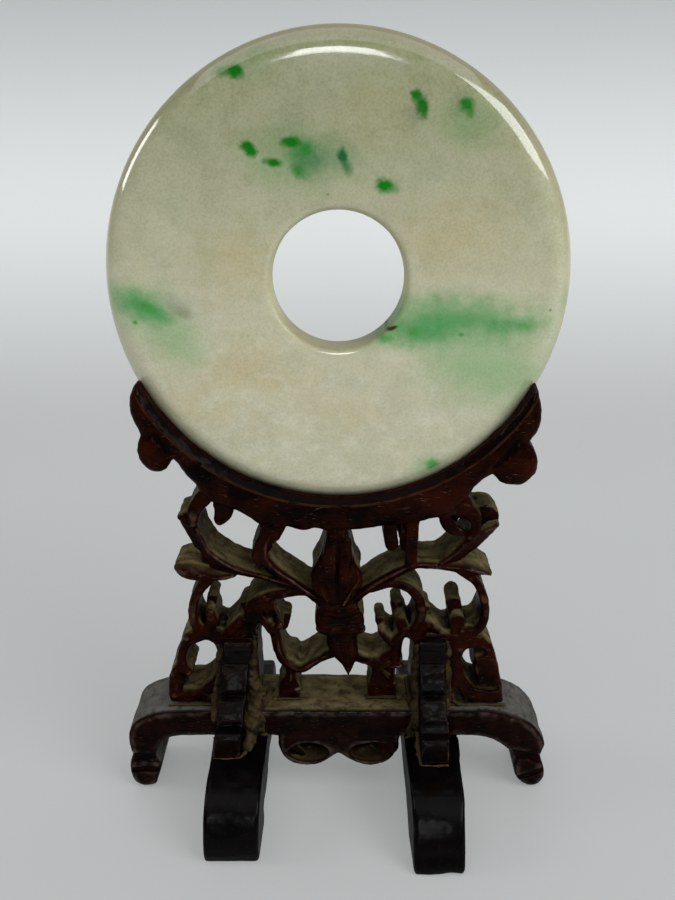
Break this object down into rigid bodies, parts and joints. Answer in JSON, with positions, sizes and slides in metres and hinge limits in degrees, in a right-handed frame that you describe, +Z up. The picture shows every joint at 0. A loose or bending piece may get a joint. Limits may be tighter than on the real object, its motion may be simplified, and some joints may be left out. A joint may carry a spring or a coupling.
{
  "type": "jade bi disc on a carved stand",
  "caption": "Polished jade ring standing in the grooved cradle of a carved openwork hardwood stand.",
  "frame": {"origin": "on the ground under the middle of the stand", "axes": "+Z up, the front faces -Y, +X to the right of someone looking at the front"},
  "size_m": [0.061, 0.0403, 0.1026],
  "materials": {
    "jade": "polished",
    "carved_wood": "waxed satin",
    "base_wood": "waxed satin"
  },
  "bodies": {
    "root": {"jade_disc": "jade", "carved_panel": "carved_wood", "base_rail": "base_wood", "left_foot": "base_wood", "right_foot": "base_wood", "front_left_bracket": "base_wood", "front_right_bracket": "base_wood", "back_left_bracket": "base_wood", "back_right_bracket": "base_wood"}
  },
  "joints": []
}
